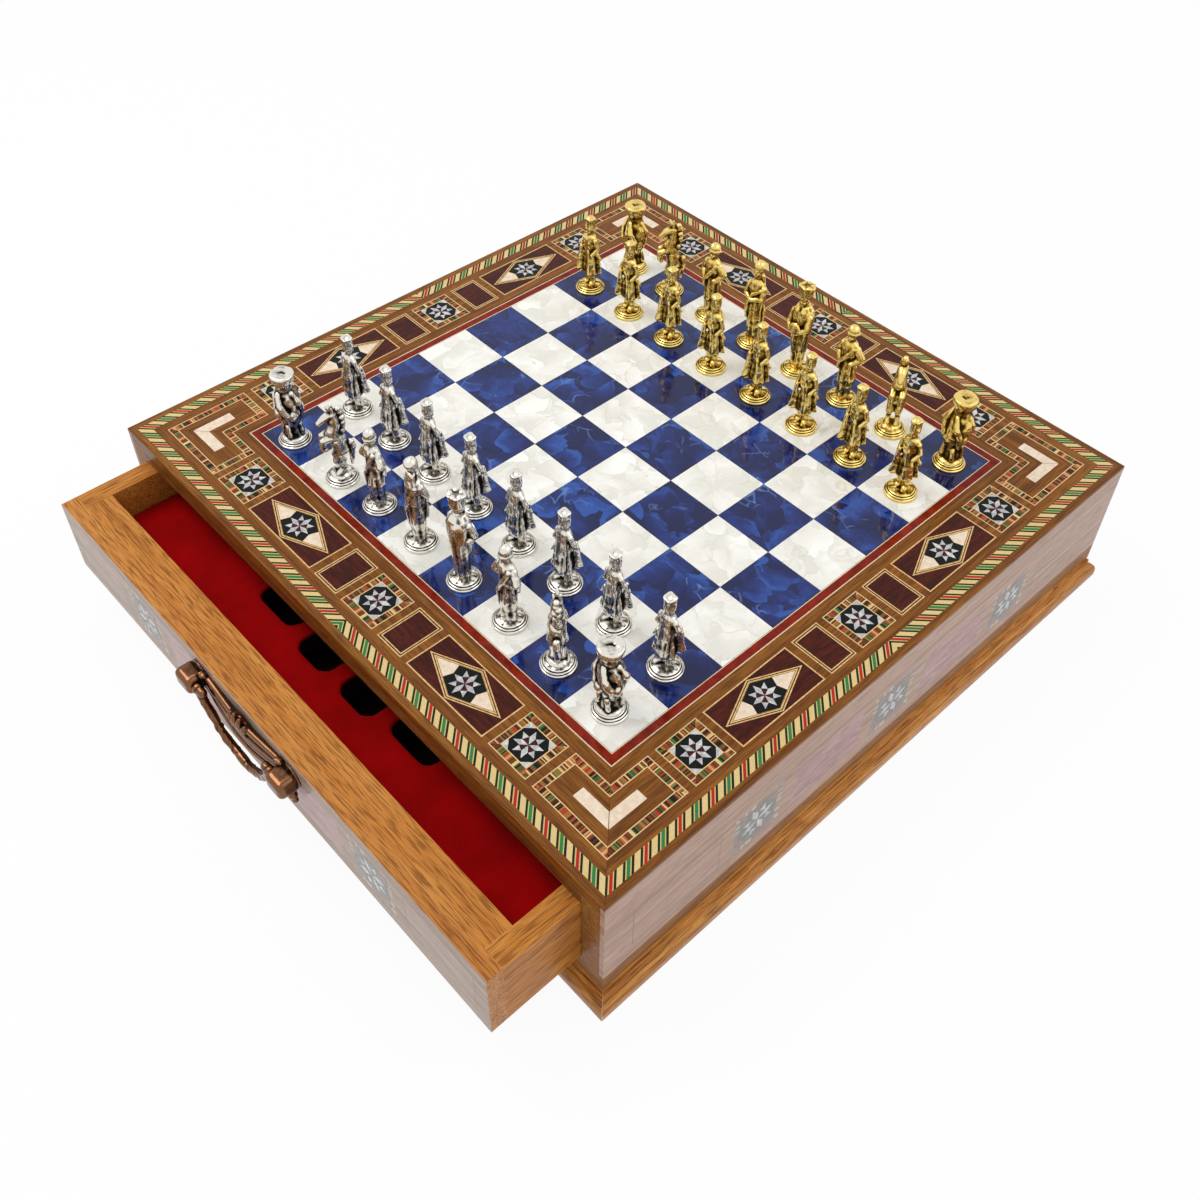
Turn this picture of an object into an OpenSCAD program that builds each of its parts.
// Chess box with two drawers: a marquetry case, an inlaid playing board on its lid
// and a set of 32 cast chessmen. Lengths are in millimetres.
// Z is up, the front drawer opens towards -Y and the underside's centre is the origin.

/* [Playing board] */
// Side of one playing square
square_w = 40; // [36:0.5:56]
// Thickness of the acrylic squares
square_t = 1.6; // [1:0.1:3]
// Joint between two squares
square_gap = 0.3; // [0.2:0.05:0.8]

/* [Marquetry border, from the squares outwards] */
// Width of the fine cream strings beside the red line
string_w = 0.6; // [0.4:0.1:1.2]
// Width of the red line
red_w = 4.8; // [3:0.1:8]
// Plain walnut between the red line and the marquetry tiles
inner_walnut = 7.2; // [4:0.1:14]
// Width of a star tile, and so of the marquetry row
star_w = 29; // [26:0.5:38]
// Plain walnut between the marquetry tiles and the striped band
outer_walnut = 6.3; // [3:0.1:12]
// Width of the striped band
stripe_w = 6.9; // [4:0.1:12]
// Walnut edge outside the striped band
edge_w = 4.6; // [4:0.1:10]
// Depth of the marquetry pieces
inlay_t = 1.2; // [0.8:0.1:2]
// Walnut left between two marquetry tiles
tile_gap = 5; // [3:0.1:7]
// Width of the mosaic frame round a star
mosaic_w = 5; // [3.5:0.1:6]
// Length of a plain dark panel
dark_w = 20.8; // [14:0.1:26]
// Length of each leg of the corner motif
corner_leg = 54.3; // [48:0.1:62]
// Tip radius of a star on the lid
star_r = 8.6; // [6:0.1:8.8]
// Saw kerf between two pieces of one star
kerf = 0.2; // [0.1:0.05:0.4]

/* [Marquetry on the sides and the drawer faces] */
// Pitch from one star to the next
face_star_pitch = 111.6; // [104:0.2:120]
// Tip radius of these stars
face_star_r = 13; // [9:0.2:13.4]
// Side of the frame round these stars
face_tile_w = 36; // [34:0.5:40]
// Width of that frame
face_mosaic_w = 4; // [2.5:0.1:4.4]
// Height of the panels between the stars
face_panel_h = 33; // [24:0.5:38]
// Gap between a star frame and the panel beside it
face_gap = 9.9; // [5:0.1:14]
// Plain veneer beyond the end panels of the sides
side_end = 19.2; // [10:0.2:30]
// Plain veneer beyond the end panels of the drawer faces
face_end = 10; // [6:0.2:20]

/* [Case] */
// Height of the base moulding
base_h = 18; // [15:0.5:28]
// How far the base moulding stands out from the case
base_out = 6; // [3:0.5:12]
// Height of the fillet along the foot of the base moulding
fillet_h = 4; // [2:0.5:6]
// Radius of the base moulding's ovolo
ovolo_r = 8; // [6:0.5:9]
// Plain strip left over the base moulding's bead
bead_top = 4; // [2:0.5:6]
// How far the bead under that strip stands out
bead_step = 1.2; // [0.6:0.1:2]
// Depth of the base moulding's lengths
base_w = 26; // [18:0.5:40]
// Thickness of the panel that closes the underside
under_t = 4; // [2:0.5:8]
// Thickness of the floor that the drawers run on
floor_t = 11.7; // [8:0.1:18]
// Thickness of the side walls behind their veneered panels
wall_t = 13; // [9:0.5:20]
// Thickness of the veneered side panels
panel_t = 3; // [2:0.1:3.6]
// How far the lid's edge shows above a side panel
lip_h = 2; // [1.4:0.1:4]
// Height of the rail above each drawer
rail_h = 8; // [5:0.5:14]
// Depth of the rail above each drawer
rail_w = 16; // [10:0.5:30]
// Clearance from a drawer's ceiling up to the rail's underside
ceiling_set = 2; // [0:0.5:3]
// Thickness of the lid's mitred frame
frame_t = 8; // [6:0.5:14]
// Thickness of the wall between the two drawers
divider_t = 12; // [6:0.5:20]

/* [Drawers] */
// Height of a drawer
drawer_h = 53.2; // [50:0.2:70]
// Clearance under a drawer
run_gap = 0.3; // [0.2:0.05:0.6]
// Clearance over a drawer
head_gap = 0.8; // [0.4:0.1:1.5]
// Clearance at each side of a drawer
side_gap = 0.6; // [0.3:0.1:1.2]
// Space left behind a closed drawer
stop_gap = 2; // [1:0.5:6]
// How far the front drawer stands open
drawer_open = 57; // [20:1:120]
// Thickness of the veneered drawer face
face_t = 10; // [6:0.5:16]
// Thickness of the drawer sides
side_t = 13; // [8:0.5:18]
// Thickness of the board behind the face
inner_front_t = 16.5; // [10:0.5:24]
// Thickness of the drawer back
back_t = 10; // [6:0.5:16]
// Thickness of the drawer bottom
bottom_t = 4; // [3:0.5:8]
// How far the bottom stands up from the drawer's lower edge
bottom_up = 1; // [0.5:0.5:4]

/* [Velvet pads] */
// Height of the padded insert
pad_h = 26.3; // [22:0.1:32]
// Pad left under the slots
pad_floor = 3; // [2:0.5:6]
// Gap between the pad and the drawer's walls
pad_gap = 0.3; // [0.2:0.1:1]
// Corner radius of the slots
slot_r = 7; // [3:0.5:9]
// Strip of pad between two slots
slot_wall = 11.5; // [8:0.5:13]
// Width of the king's and the queen's slots
royal_slot_w = 29.5; // [24:0.5:31]
// Width of the bishops' slots
bishop_slot_w = 36; // [26:0.5:37]
// Width of the knights' and rooks' slots
minor_slot_w = 34; // [26:0.5:35]
// Width of a slot for two pawns
pawn_slot_w = 78; // [60:0.5:80]
// Length of the king's and the queen's slots
royal_slot_l = 74; // [72:0.5:78]
// Length of the bishops' slots
bishop_slot_l = 65; // [62:0.5:70]
// Length of the knights' and rooks' slots
minor_slot_l = 62; // [61:0.5:64]
// Length of the pawns' slots
pawn_slot_l = 60; // [58:0.5:64]
// Pad in front of the royal slots
royal_inset = 24.5; // [20:0.5:26]
// Extra pad in front of the bishops' slots
bishop_step = 5; // [2:0.5:8]
// Extra pad in front of the knights' and rooks' slots
minor_step = 16; // [14:0.5:17]

/* [Pulls] */
// Distance between the two posts
post_pitch = 90; // [76:1:110]
// Width of a post
post_w = 15; // [12:0.5:18]
// How far a post stands out from the face
post_d = 13; // [12:0.5:18]
// Height of a post
post_h = 12; // [10:0.5:14]
// Height of the posts above the middle of the face
post_up = 15; // [10:0.5:17]
// Thickness of the pierced back plate
plate_t = 3; // [2:0.1:3.4]
// Drop of the back plate's lower bar
plate_sag = 16; // [12:0.5:20]
// Width of that bar
plate_bar = 5; // [3:0.5:6]
// Drop of the ribbon above it
ribbon_sag = 5.5; // [4:0.5:7]
// Width of the ribbon
ribbon_bar = 3.5; // [2:0.5:4.5]
// Radius of the ribbon's knot
ribbon_knot_r = 5.5; // [4:0.5:6]
// How far the knot stands up from the plate
plate_over = 0.7; // [0.3:0.1:1]
// Radius of the rosettes behind the posts
rose_r = 9.5; // [8:0.5:11]
// Radius of the finials under the posts
finial_r = 3; // [2:0.1:4]
// Radius of the buds over the posts
bud_r = 2.6; // [1.6:0.1:3]
// Rounding of a post's edges
post_round = 2.5; // [1:0.1:4]
// Gap between a barrel and its post
barrel_gap = 0.5; // [0.3:0.1:1]
// Radius of the bail's rod
bail_r = 2.6; // [2:0.1:3]
// Drop from the pivots to the rod's lowest point
bail_drop = 28; // [22:0.5:32]
// Radius of the barrels that end the bail
barrel_r = 3.4; // [3:0.1:3.8]
// Radius of the pivot pins
pin_r = 1.8; // [1.4:0.1:2.2]
// Clearance round a pin
pin_gap = 0.15; // [0.1:0.05:0.3]
// How deep a pin reaches into its post
pin_in = 8; // [6:0.5:9]
// Radius of the studs that hold a pull to its drawer
stud_r = 2; // [1.5:0.1:2.5]
// Length of those studs
stud_l = 18; // [12:0.5:20]

/* [Chessmen] */
// Diameter of a foot
foot_d = 20.5; // [18:0.1:22]
// Height of a foot
foot_h = 4.6; // [4:0.1:6]
// Height of a king
king_h = 69; // [64:0.5:71]
// Height of a queen
queen_h = 66; // [60:0.5:70]
// Height of a bishop
bishop_h = 60; // [56:0.5:62]
// Height of a knight
knight_h = 59; // [54:0.5:60]
// Height of a rook
rook_h = 53; // [48:0.5:58]
// Height of a pawn
pawn_h = 57; // [50:0.5:58]
// Width of a figure across its shoulders
shoulder_w = 12; // [10:0.5:14]
// How far the men stand in front of the middles of their squares
men_set = 3; // [-6:0.5:6]

/* [Hidden] */
$fn = 48;

// Rings of the lid, each from the middle outwards
field_half = 4 * square_w;
red_in = field_half + string_w;
red_out = red_in + red_w;
border_out = red_out + string_w;
band_in = border_out + inner_walnut;
band_out = band_in + star_w;
stripe_in = band_out + outer_walnut;
stripe_out = stripe_in + stripe_w;
case_half = stripe_out + edge_w;

// Levels, from the underside up
floor_z = base_h + floor_t;
drawer_z = floor_z + run_gap;
rail_z = drawer_z + drawer_h + head_gap;
frame_z = rail_z + rail_h;
lid_z = frame_z + frame_t;
panel_top = lid_z - lip_h;
ceiling_z = rail_z + ceiling_set;

// Plan of the case
panel_in = case_half - panel_t;
wall_in = panel_in - wall_t;
base_half = case_half + base_out;
base_in = base_half - base_w;
mitre_gap = 0.1;

// Tiles along one side of the lid, as distances from its middle
band_mid = (band_in + band_out) / 2;
dark_x = star_w / 2 + tile_gap + dark_w / 2;
loz_start = star_w / 2 + 2 * tile_gap + dark_w;
star_x = band_out - corner_leg - tile_gap - star_w / 2;
loz_end = star_x - star_w / 2 - tile_gap;
loz_len = loz_end - loz_start;
loz_x = (loz_start + loz_end) / 2;
star_field = star_w - 2 * mosaic_w;
corner_cut = star_field * 0.24;
line_w = 0.8;
loz_line = 1.8;
seam = 0.6;
loz_half_l = loz_len / 2 - line_w - 1.4;
loz_half_h = star_w / 2 - line_w - 0.4;
loz_slant = norm([loz_half_l, loz_half_h]);
bone_set = 11.3;
bone_w = 7;
bone_leg = 36.9;

// Marquetry of the sides and the drawer faces
face_field = face_tile_w - 2 * face_mosaic_w;
face_panel_w = face_star_pitch - face_tile_w - 2 * face_gap;
face_mid = drawer_h / 2;
end_start = face_star_pitch + face_tile_w / 2 + face_gap;

// Drawers
drawer_half = wall_in - side_gap;
drawer_len = case_half - divider_t / 2 - stop_gap;
box_half = drawer_half - side_t;
front_in = face_t + inner_front_t;
back_in = drawer_len - back_t;
bottom_top = bottom_up + bottom_t;
pad_half = box_half - pad_gap;
pad_front = front_in + pad_gap;
pad_back = back_in - pad_gap;
slot_z = bottom_top + pad_floor;
pad_top = bottom_top + pad_h;
royal_x = (slot_wall + royal_slot_w) / 2;
bishop_x = royal_x + royal_slot_w / 2 + slot_wall + bishop_slot_w / 2;
knight_x = bishop_x + bishop_slot_w / 2 + slot_wall + minor_slot_w / 2;
rook_x = knight_x + minor_slot_w + slot_wall;
royal_y = pad_front + royal_inset;
bishop_y = royal_y + bishop_step;
minor_y = royal_y + minor_step;
pawn_y = royal_y + royal_slot_l + slot_wall;
pawn_x = (pawn_slot_w + slot_wall) / 2;

// Pulls
post_x = post_pitch / 2;
post_in = post_x - post_w / 2;
pull_z = face_mid + post_up;
bail_half = post_in - barrel_gap - barrel_r;
bail_y = 7.5;
bail_arc = (bail_half * bail_half + bail_drop * bail_drop) / (2 * bail_drop);
bail_turn = asin(bail_half / bail_arc);

// Colours
walnut = "#8a5a2e";
oak = "#b67d3c";
rosewood = "#3a1812";
cream = "#e8d2a8";
pearl = "#e9e8e2";
velvet = "#8c0507";
copper = "#8b5a41";
silver = "#c4c4c4";
gold = "#cfa54a";

// Outlines

module ring2d(inner, outer) {
  difference() {
    square(2 * outer, center = true);
    square(2 * inner, center = true);
  }
}

module frame2d(w, h, line) {
  difference() {
    square([w, h], center = true);
    square([w - 2 * line, h - 2 * line], center = true);
  }
}

// Four lengths of a square frame, mitred at the corners
module mitre2d(inner, outer) {
  for (turn = [0, 90, 180, 270])
    rotate(turn)
      polygon([
        [mitre_gap - outer, -outer],
        [outer - mitre_gap, -outer],
        [inner - mitre_gap, -inner],
        [mitre_gap - inner, -inner]
      ]);
}

function polar(r, a) = [r * cos(a), r * sin(a)];

// Inner corners of an eight-pointed star, as a share of its tip radius
star_neck = 0.55;

module star_outline2d(r) {
  polygon([for (k = [0:15]) polar(k % 2 == 0 ? r : r * star_neck, k * 22.5)]);
}

// The pearl pieces: four whole points and four short ones
module star_pearl2d(r) {
  neck = r * star_neck;
  slip = kerf / neck * 57.3 / 2;
  for (turn = [0, 90, 180, 270]) {
    rotate(turn)
      polygon([
        [kerf * 1.4, 0],
        polar(neck, slip - 22.5),
        [r, 0],
        polar(neck, 22.5 - slip)
      ]);
    rotate(turn + 45)
      polygon([
        polar(neck + kerf / 2, slip - 22.5),
        [r, 0],
        polar(neck + kerf / 2, 22.5 - slip)
      ]);
  }
}

// The dark pieces between the pearl and the star's middle
module star_heart2d(r) {
  neck = r * star_neck - kerf / 2;
  slip = kerf / neck * 57.3;
  for (turn = [45, 135, 225, 315])
    rotate(turn)
      polygon([[kerf * 2, 0], polar(neck, slip - 22.5), polar(neck, 22.5 - slip)]);
}

module field_corners2d(field, cut) {
  for (turn = [0, 90, 180, 270])
    rotate(turn)
      polygon([
        [field / 2, field / 2],
        [field / 2 - cut, field / 2],
        [field / 2, field / 2 - cut]
      ]);
}

module lozenge2d(shrink) {
  long = loz_half_l - shrink * loz_slant / loz_half_h;
  high = loz_half_h - shrink * loz_slant / loz_half_l;
  polygon([[long, 0], [0, high], [-long, 0], [0, -high]]);
}

// Bone ends of a lozenge, notched towards its star
module lozenge_bone2d() {
  difference() {
    lozenge2d(loz_line + seam);
    circle(r = star_r + 1.5, $fn = 8);
  }
}

module corner_l2d(set, leg, wide) {
  translate([set - band_out, set - band_out]) {
    square([leg, wide]);
    square([wide, leg]);
  }
}

module corner_frame2d() {
  difference() {
    corner_l2d(0, corner_leg, star_w);
    corner_l2d(mosaic_w, corner_leg - 2 * mosaic_w, star_w - 2 * mosaic_w);
  }
}

module corner_bone2d() {
  corner_l2d(bone_set, bone_leg - bone_set, bone_w);
}

module all_round() {
  for (turn = [0, 90, 180, 270])
    rotate(turn)
      children();
}

module star_places() {
  all_round()
    for (x = [-star_x, 0, star_x])
      translate([x, -band_mid])
        children();
}

module dark_places() {
  all_round()
    for (x = [-dark_x, dark_x])
      translate([x, -band_mid])
        children();
}

module lozenge_places() {
  all_round()
    for (x = [-loz_x, loz_x])
      translate([x, -band_mid])
        children();
}

// Everything let into the lid's frame
module lid_pockets2d() {
  ring2d(field_half, border_out);
  ring2d(stripe_in, stripe_out);
  star_places() square(star_w, center = true);
  dark_places() square([dark_w, star_w], center = true);
  lozenge_places() square([loz_len, star_w], center = true);
  all_round() {
    corner_frame2d();
    corner_bone2d();
  }
}

module lid_inlay() {
  translate([0, 0, lid_z - inlay_t])
    linear_extrude(inlay_t)
      children();
}

// Marquetry of an upright face, with x along it and y up it
module face_stars2d() {
  for (x = [-face_star_pitch, 0, face_star_pitch])
    translate([x, 0])
      rotate(22.5)
        star_pearl2d(face_star_r);
}

module face_frames2d() {
  for (x = [-face_star_pitch, 0, face_star_pitch])
    translate([x, 0])
      frame2d(face_tile_w, face_tile_w, face_mosaic_w);
}

module face_panels2d(half, end) {
  for (side = [-1, 1]) {
    translate([side * face_star_pitch / 2, 0])
      square([face_panel_w, face_panel_h], center = true);
    translate([side * (end_start + half - end) / 2, 0])
      square([half - end - end_start, face_panel_h], center = true);
  }
}

// Lays a drawing against an upright face at y = 0, sunk by its own depth
module on_face(z) {
  translate([0, inlay_t, z])
    rotate([90, 0, 0])
      linear_extrude(inlay_t)
        children();
}

module side_places() {
  for (turn = [90, 270])
    rotate(turn)
      translate([0, -case_half, drawer_z + face_mid])
        children();
}

// Case

// Section of the base moulding: a fillet, an ovolo and a small step under the case
module moulding2d() {
  square([base_w - base_out, base_h]);
  square([base_w - base_out + bead_step, base_h - bead_top]);
  square([base_w, fillet_h]);
  intersection() {
    translate([base_w - ovolo_r, fillet_h])
      circle(r = ovolo_r);
    square([base_w, base_h]);
  }
}

module base_moulding() color(oak)
  for (turn = [0, 90, 180, 270])
    rotate(turn)
      intersection() {
        translate([-base_half, -base_in, 0])
          rotate([90, 0, 90])
            linear_extrude(2 * base_half)
              mirror([1, 0, 0])
                moulding2d();
        linear_extrude(base_h)
          polygon([
            [mitre_gap - base_half, -base_half],
            [base_half - mitre_gap, -base_half],
            [base_in - mitre_gap, -base_in],
            [mitre_gap - base_in, -base_in]
          ]);
      }

module bottom_boards() color(walnut) {
  translate([-case_half, -case_half, base_h])
    cube([2 * case_half, 2 * case_half, floor_t]);
  translate([-base_in, -base_in, 0])
    cube([2 * base_in, 2 * base_in, under_t]);
}

module case_sides() color(oak)
  for (side = [0, 1])
    mirror([side, 0, 0])
      translate([wall_in, -case_half, floor_z])
        cube([wall_t, 2 * case_half, frame_z - floor_z]);

module side_panel_blanks()
  for (side = [0, 1])
    mirror([side, 0, 0])
      translate([panel_in, -case_half, floor_z])
        cube([panel_t, 2 * case_half, panel_top - floor_z]);

module side_panels() color("#a98c7c")
  difference() {
    side_panel_blanks();
    side_places()
      on_face(0) {
        face_stars2d();
        face_frames2d();
        face_panels2d(case_half, side_end);
      }
  }

module centre_divider() color(oak)
  translate([-wall_in, -divider_t / 2, floor_z])
    cube([2 * wall_in, divider_t, ceiling_z - floor_z]);

module drawer_rails() color(walnut)
  for (side = [0, 1])
    mirror([0, side, 0])
      translate([-wall_in, -case_half, rail_z])
        cube([2 * wall_in, rail_w, rail_h]);

module lid_board() color(oak) {
  translate([-wall_in, rail_w - case_half, ceiling_z])
    cube([2 * wall_in, 2 * (case_half - rail_w), frame_z - ceiling_z]);
  translate([-field_half, -field_half, frame_z])
    cube([2 * field_half, 2 * field_half, frame_t - square_t]);
}

module lid_frame() color(walnut)
  difference() {
    translate([0, 0, frame_z])
      linear_extrude(frame_t)
        mitre2d(field_half, case_half);
    translate([0, 0, lid_z - inlay_t])
      linear_extrude(2 * inlay_t)
        lid_pockets2d();
    side_panel_blanks();
  }

module squares(parity)
  translate([0, 0, lid_z - square_t])
    linear_extrude(square_t)
      for (i = [0:7], j = [0:7])
        if ((i + j) % 2 == parity)
          translate([(i - 3.5) * square_w, (j - 3.5) * square_w])
            square(square_w - square_gap, center = true);

module white_squares() color(pearl) squares(1);

module blue_squares() color("#1b2f7d") squares(0);

module red_line() color("#7d1a12")
  lid_inlay() ring2d(red_in, red_out);

module striped_band() color("#cdb56d")
  lid_inlay() ring2d(stripe_in, stripe_out);

module mosaic_frames() color("#a4793f") {
  lid_inlay() {
    star_places() frame2d(star_w, star_w, mosaic_w);
    all_round() corner_frame2d();
  }
  side_places()
    on_face(0)
      face_frames2d();
}

module star_points() color(pearl) {
  lid_inlay() {
    star_places() {
      rotate(22.5) star_pearl2d(star_r);
      field_corners2d(star_field, corner_cut);
    }
    lozenge_places() star_pearl2d(star_r);
  }
  side_places()
    on_face(0)
      face_stars2d();
}

module dark_inlays() color(rosewood) {
  lid_inlay() {
    star_places() {
      difference() {
        square(star_field, center = true);
        field_corners2d(star_field, corner_cut);
        rotate(22.5) star_outline2d(star_r);
      }
      rotate(22.5) star_heart2d(star_r);
    }
    dark_places()
      square([dark_w - 2 * line_w, star_w - 2 * line_w], center = true);
    lozenge_places() {
      difference() {
        square([loz_len - 2 * line_w, star_w - 2 * line_w], center = true);
        difference() {
          lozenge2d(0);
          lozenge2d(loz_line);
        }
        lozenge_bone2d();
        star_outline2d(star_r);
      }
      star_heart2d(star_r);
    }
  }
  side_places()
    on_face(0)
      face_panels2d(case_half, side_end);
}

module cream_inlays() color(cream)
  lid_inlay() {
    ring2d(field_half, red_in);
    ring2d(red_out, border_out);
    dark_places() frame2d(dark_w, star_w, line_w);
    lozenge_places() {
      frame2d(loz_len, star_w, line_w);
      difference() {
        lozenge2d(0);
        lozenge2d(loz_line);
      }
      lozenge_bone2d();
    }
    all_round() corner_bone2d();
  }

// Drawers, each with the outside of its face at y = 0 and its lower edge at z = 0

module stud_holes()
  for (side = [-1, 1])
    translate([side * post_x, -0.5, pull_z])
      rotate([-90, 0, 0])
        cylinder(r = stud_r + pin_gap, h = stud_l + 1);

module face_pockets()
  on_face(face_mid) {
    face_stars2d();
    face_frames2d();
    face_panels2d(drawer_half, face_end);
  }

module face_inlay()
  difference() {
    face_pockets();
    stud_holes();
  }

module drawer_face()
  difference() {
    translate([-drawer_half, 0, 0])
      cube([2 * drawer_half, face_t, drawer_h]);
    face_pockets();
    stud_holes();
  }

module drawer_box() {
  for (side = [0, 1])
    mirror([side, 0, 0])
      translate([box_half, face_t, 0])
        cube([side_t, drawer_len - face_t, drawer_h]);
  difference() {
    translate([-box_half, face_t, 0])
      cube([2 * box_half, inner_front_t, drawer_h]);
    stud_holes();
  }
  translate([-box_half, back_in, 0])
    cube([2 * box_half, back_t, drawer_h]);
  translate([-box_half, front_in, bottom_up])
    cube([2 * box_half, back_in - front_in, bottom_t]);
}

module slot2d(w, l) {
  translate([slot_r - w / 2, 0])
    square([w - 2 * slot_r, l]);
  translate([-w / 2, slot_r])
    square([w, l - 2 * slot_r]);
  for (x = [slot_r - w / 2, w / 2 - slot_r], y = [slot_r, l - slot_r])
    translate([x, y])
      circle(r = slot_r);
}

module slots2d()
  for (side = [0, 1])
    mirror([side, 0]) {
      translate([royal_x, royal_y]) slot2d(royal_slot_w, royal_slot_l);
      translate([bishop_x, bishop_y]) slot2d(bishop_slot_w, bishop_slot_l);
      translate([knight_x, minor_y]) slot2d(minor_slot_w, minor_slot_l);
      translate([rook_x, minor_y]) slot2d(minor_slot_w, minor_slot_l);
      translate([pawn_x, pawn_y]) slot2d(pawn_slot_w, pawn_slot_l);
      translate([pawn_x + pawn_slot_w + slot_wall, pawn_y]) slot2d(pawn_slot_w, pawn_slot_l);
    }

module pad()
  difference() {
    translate([-pad_half, pad_front, bottom_top])
      cube([2 * pad_half, pad_back - pad_front, pad_h]);
    translate([0, 0, slot_z])
      linear_extrude(pad_h)
        slots2d();
  }

// A post with its vertical and its top edges rounded
module post()
  intersection() {
    translate([0, -post_d, -post_h / 2])
      linear_extrude(post_h) {
        translate([-post_w / 2, post_round])
          square([post_w, post_d - post_round]);
        translate([post_round - post_w / 2, 0])
          square([post_w - 2 * post_round, post_d]);
        for (x = [post_round - post_w / 2, post_w / 2 - post_round])
          translate([x, post_round])
            circle(r = post_round);
      }
    translate([-post_w / 2, 0, -post_h / 2])
      rotate([90, 0, 90])
        linear_extrude(post_w)
          mirror([1, 0]) {
            square([post_d - post_round, post_h]);
            translate([0, post_round])
              square([post_d, post_h - 2 * post_round]);
            for (y = [post_round, post_h - post_round])
              translate([post_d - post_round, y])
                circle(r = post_round);
          }
  }

// A bar of the back plate, a shallow arc that hangs from post to post
module plate_arc2d(sag, bar) {
  arc = (post_x * post_x + sag * sag) / (2 * sag);
  intersection() {
    translate([0, arc - sag])
      difference() {
        circle(r = arc + bar / 2, $fn = 96);
        circle(r = arc - bar / 2, $fn = 96);
      }
    translate([-post_x, -sag - bar])
      square([post_pitch, sag + bar]);
  }
}

module pull()
  translate([0, 0, pull_z]) {
    difference() {
      for (side = [-1, 1])
        translate([side * post_x, 0, 0])
          post();
      translate([-post_in - pin_in - 1, -bail_y, 0])
        rotate([0, 90, 0])
          cylinder(r = pin_r + pin_gap, h = 2 * (post_in + pin_in + 1));
    }
    rotate([90, 0, 0])
      linear_extrude(plate_t) {
        plate_arc2d(plate_sag, plate_bar);
        plate_arc2d(ribbon_sag, ribbon_bar);
        for (side = [-1, 1])
          translate([side * post_x, 0])
            circle(r = rose_r);
      }
    rotate([90, 0, 0])
      cylinder(r = ribbon_knot_r, h = plate_t + plate_over);
    for (side = [-1, 1])
      translate([side * post_x, 0, 0]) {
        translate([0, -finial_r - plate_over / 2, -post_h / 2 - finial_r]) {
          sphere(r = finial_r);
          cylinder(r = finial_r * 0.66, h = 2 * finial_r);
        }
        translate([side * (bud_r - post_w / 2), -plate_t, post_h / 2])
          sphere(r = bud_r);
        rotate([-90, 0, 0])
          cylinder(r = stud_r, h = stud_l);
      }
  }

module bail()
  translate([0, -bail_y, pull_z]) {
    translate([0, 0, bail_arc - bail_drop])
      rotate([90, 90 + bail_turn, 0])
        rotate_extrude(angle = 2 * bail_turn)
          translate([bail_arc, 0])
            circle(r = bail_r, $fn = 32);
    for (side = [-1, 1])
      translate([side * (post_in - barrel_gap), 0, 0])
        rotate([0, -side * 90, 0]) {
          cylinder(r = barrel_r, h = 2 * barrel_r);
          translate([0, 0, -barrel_gap - pin_in])
            cylinder(r = pin_r, h = barrel_gap + pin_in + barrel_r);
        }
  }

module in_front()
  translate([0, -case_half - drawer_open, drawer_z])
    children();

module at_rear()
  rotate(180)
    translate([0, -case_half, drawer_z])
      children();

module front_drawer_face() color("#a98c7c") in_front() drawer_face();
module front_drawer_box() color(oak) in_front() drawer_box();
module front_face_inlay() color(pearl) in_front() face_inlay();
module front_pad() color(velvet) in_front() pad();
module front_pull() color(copper) in_front() pull();
module front_bail() color(copper) in_front() bail();
module rear_drawer_face() color("#a98c7c") at_rear() drawer_face();
module rear_drawer_box() color(oak) at_rear() drawer_box();
module rear_face_inlay() color(pearl) at_rear() face_inlay();
module rear_pad() color(velvet) at_rear() pad();
module rear_pull() color(copper) at_rear() pull();
module rear_bail() color(copper) at_rear() bail();

// Chessmen, each facing +Y with its foot at z = 0

module foot() {
  cylinder(d = foot_d, h = foot_h * 0.36);
  cylinder(d = foot_d - 1.6, h = foot_h * 0.5);
  translate([0, 0, foot_h * 0.45])
    cylinder(d = foot_d - 2.6, h = foot_h * 0.28);
  translate([0, 0, foot_h * 0.6])
    cylinder(d1 = foot_d - 4, d2 = foot_d - 8, h = foot_h * 0.4);
}

// A turned body from radii at shares of its height above the foot
module turned(height, rings)
  rotate_extrude()
    polygon(concat(
      [[0, foot_h * 0.8]],
      [for (ring = rings) [ring[1] * shoulder_w / 2, foot_h + ring[0] * (height - foot_h)]],
      [[0, foot_h + rings[len(rings) - 1][0] * (height - foot_h)]]
    ));

module pawn() {
  foot();
  turned(pawn_h, [
    [-0.02, 0.62], [0.12, 0.5], [0.3, 0.82], [0.5, 0.72], [0.66, 0.98],
    [0.76, 0.9], [0.8, 0.42], [0.86, 0.56], [0.96, 0.56], [1, 0.4]
  ]);
  translate([shoulder_w * 0.34, shoulder_w * 0.28, foot_h + 8])
    rotate([6, 0, -50])
      cube([shoulder_w * 0.5, 2.6, 17], center = false);
  translate([0, -shoulder_w * 0.36, foot_h + 11])
    rotate([-4, 0, 0])
      translate([-shoulder_w * 0.4, -1.8, 0])
        cube([shoulder_w * 0.8, 2.4, 20]);
}

module rook() {
  foot();
  turned(rook_h, [
    [-0.02, 0.9], [0.1, 0.72], [0.2, 0.95], [0.55, 1.2], [0.66, 0.95],
    [0.8, 0.82], [0.88, 1.1], [0.91, 1.22], [1, 1.22]
  ]);
  for (turn = [0:90:270])
    rotate(turn + 45)
      translate([shoulder_w * 0.42, 0, foot_h + (rook_h - foot_h) * 0.42])
        sphere(r = shoulder_w * 0.32);
  for (turn = [0:90:270])
    rotate(turn)
      translate([shoulder_w * 0.46, 0, foot_h + (rook_h - foot_h) * 0.24])
        sphere(r = shoulder_w * 0.26);
}

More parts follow.
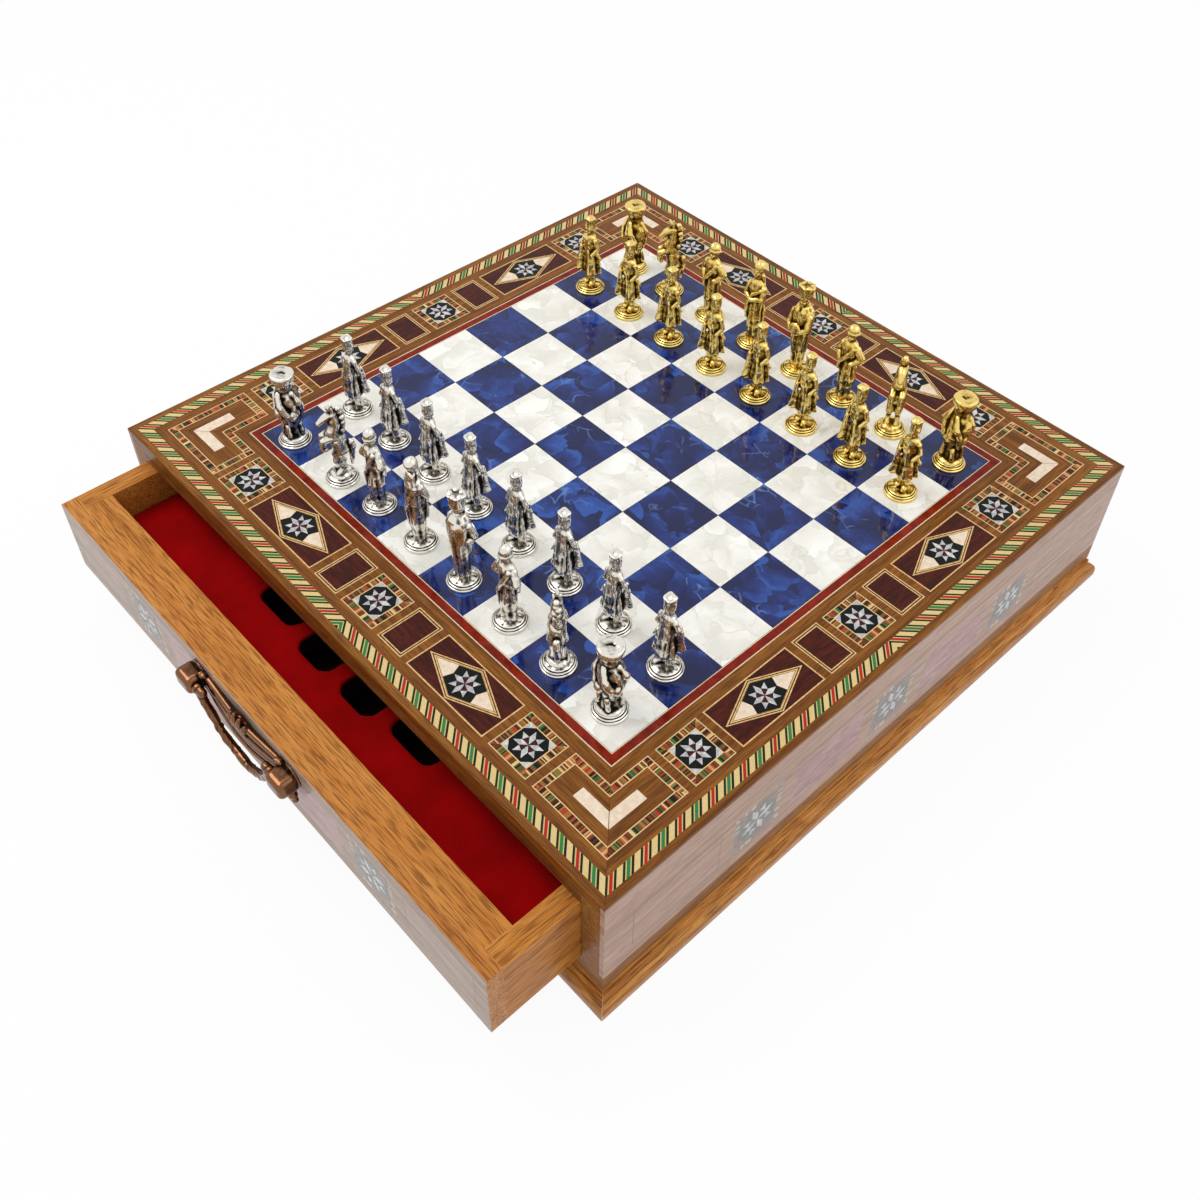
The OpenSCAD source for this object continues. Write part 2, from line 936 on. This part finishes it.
// A rearing horse, cut from a plate and seated on a mound
module knight() {
  tall = knight_h - foot_h;
  foot();
  turned(knight_h, [[-0.02, 0.9], [0.08, 0.75], [0.2, 0.6], [0.34, 0.4]]);
  translate([-3.8, 0, foot_h])
    rotate([90, 0, 90])
      linear_extrude(7.6)
        polygon([
          [-6, tall * 0.1], [5.4, tall * 0.06], [4.4, tall * 0.24], [6.6, tall * 0.36],
          [9.6, tall * 0.46], [9.8, tall * 0.56], [5.4, tall * 0.56], [6.4, tall * 0.66],
          [10, tall * 0.72], [9.6, tall * 0.82], [5, tall * 0.92], [2, tall],
          [-1.6, tall * 0.94], [-5.2, tall * 0.8], [-4.6, tall * 0.6], [-6.6, tall * 0.46],
          [-8.6, tall * 0.52], [-9.4, tall * 0.38], [-7, tall * 0.3], [-7.4, tall * 0.18]
        ]);
  translate([0, -2.2, foot_h + tall * 0.34])
    sphere(r = 5.4);
}

module bishop() {
  tall = bishop_h - foot_h;
  foot();
  turned(bishop_h, [
    [-0.02, 0.72], [0.1, 0.66], [0.3, 0.78], [0.5, 0.7], [0.68, 0.95],
    [0.76, 0.8], [0.81, 0.4], [0.86, 0.55], [0.93, 0.62], [0.97, 0.6], [1, 0.3]
  ]);
  for (side = [-1, 1]) {
    translate([side * shoulder_w * 0.68, 0, foot_h + tall * 0.56])
      sphere(r = 2.2);
    translate([side * shoulder_w * 0.3, 0, foot_h + tall * 0.72])
      rotate([0, side * 137, 0])
        cylinder(r = 2.1, h = tall * 0.2);
    translate([side * shoulder_w * 0.68, 0, foot_h + tall * 0.56])
      rotate([0, side * 230, 0])
        cylinder(r = 1.9, h = shoulder_w * 0.6);
  }
}

module king() {
  tall = king_h - foot_h;
  foot();
  turned(king_h, [
    [-0.02, 0.66], [0.1, 0.72], [0.35, 0.92], [0.62, 1.12], [0.72, 1.2],
    [0.77, 0.9], [0.8, 0.46], [0.85, 0.58], [0.91, 0.6], [0.92, 0.7], [1, 0.84]
  ]);
  translate([0, shoulder_w * 0.3, foot_h + tall * 0.56])
    rotate([-82, 0, 0])
      cylinder(r = shoulder_w * 0.42, h = shoulder_w * 0.36);
  translate([shoulder_w * 0.5, shoulder_w * 0.1, foot_h + tall * 0.5])
    sphere(r = 3.2);
}

module queen() {
  tall = queen_h - foot_h;
  foot();
  turned(queen_h, [
    [-0.02, 0.6], [0.1, 0.66], [0.3, 0.84], [0.5, 0.86], [0.66, 1.02],
    [0.76, 0.92], [0.8, 0.48], [0.92, 0.5]
  ]);
  translate([0, 0, queen_h - shoulder_w * 0.33])
    sphere(r = shoulder_w * 0.33);
  translate([0, shoulder_w * 0.42, foot_h + tall * 0.56])
    rotate([0, 90, 0])
      cylinder(r = 2.2, h = shoulder_w * 0.7, center = true);
}

// Stands a man on its square, counted from the right-hand file and the near rank,
// nudged sideways and forwards by hand
module stand(file, rank, nudge)
  translate([
    (3.5 - file) * square_w + nudge[0],
    (rank - 3.5) * square_w - men_set + nudge[1],
    lid_z
  ])
    children();

module silver_man(file, rank, nudge = [0, 0]) color(silver)
  stand(file, rank, nudge)
    children();

module gold_man(file, rank, nudge = [0, 0]) color(gold)
  stand(file, 7 - rank, nudge)
    rotate(180)
      children();

base_moulding();
bottom_boards();
case_sides();
side_panels();
centre_divider();
drawer_rails();
lid_board();
lid_frame();
white_squares();
blue_squares();
red_line();
striped_band();
mosaic_frames();
star_points();
dark_inlays();
cream_inlays();
front_drawer_face();
front_drawer_box();
front_face_inlay();
front_pad();
front_pull();
front_bail();
rear_drawer_face();
rear_drawer_box();
rear_face_inlay();
rear_pad();
rear_pull();
rear_bail();
silver_man(3, 0) king();  // silver_king
silver_man(4, 0) queen();  // silver_queen
silver_man(2, 0) bishop();  // silver_bishop_1
silver_man(5, 0) bishop();  // silver_bishop_2
silver_man(1, 0) rotate(45) knight();  // silver_knight_1
silver_man(6, 0, [6, -3]) rotate(152) knight();  // silver_knight_2
silver_man(0, 0) rook();  // silver_rook_1
silver_man(7, 0, [-2, -5]) rook();  // silver_rook_2
silver_man(0, 1) pawn();  // silver_pawn_1
silver_man(1, 1) pawn();  // silver_pawn_2
silver_man(2, 1) pawn();  // silver_pawn_3
silver_man(3, 1) pawn();  // silver_pawn_4
silver_man(4, 1) pawn();  // silver_pawn_5
silver_man(5, 1) pawn();  // silver_pawn_6
silver_man(6, 1) pawn();  // silver_pawn_7
silver_man(7, 1) pawn();  // silver_pawn_8
gold_man(3, 0) king();  // gold_king
gold_man(4, 0) queen();  // gold_queen
gold_man(2, 0) bishop();  // gold_bishop_1
gold_man(5, 0) bishop();  // gold_bishop_2
gold_man(1, 0) rotate(30) knight();  // gold_knight_1
gold_man(6, 0) rotate(-47) knight();  // gold_knight_2
gold_man(0, 0, [4, 3]) rook();  // gold_rook_1
gold_man(7, 0, [3, 0]) rook();  // gold_rook_2
gold_man(0, 1) pawn();  // gold_pawn_1
gold_man(1, 1) pawn();  // gold_pawn_2
gold_man(2, 1) pawn();  // gold_pawn_3
gold_man(3, 1) pawn();  // gold_pawn_4
gold_man(4, 1) pawn();  // gold_pawn_5
gold_man(5, 1) pawn();  // gold_pawn_6
gold_man(6, 1) pawn();  // gold_pawn_7
gold_man(7, 1) pawn();  // gold_pawn_8
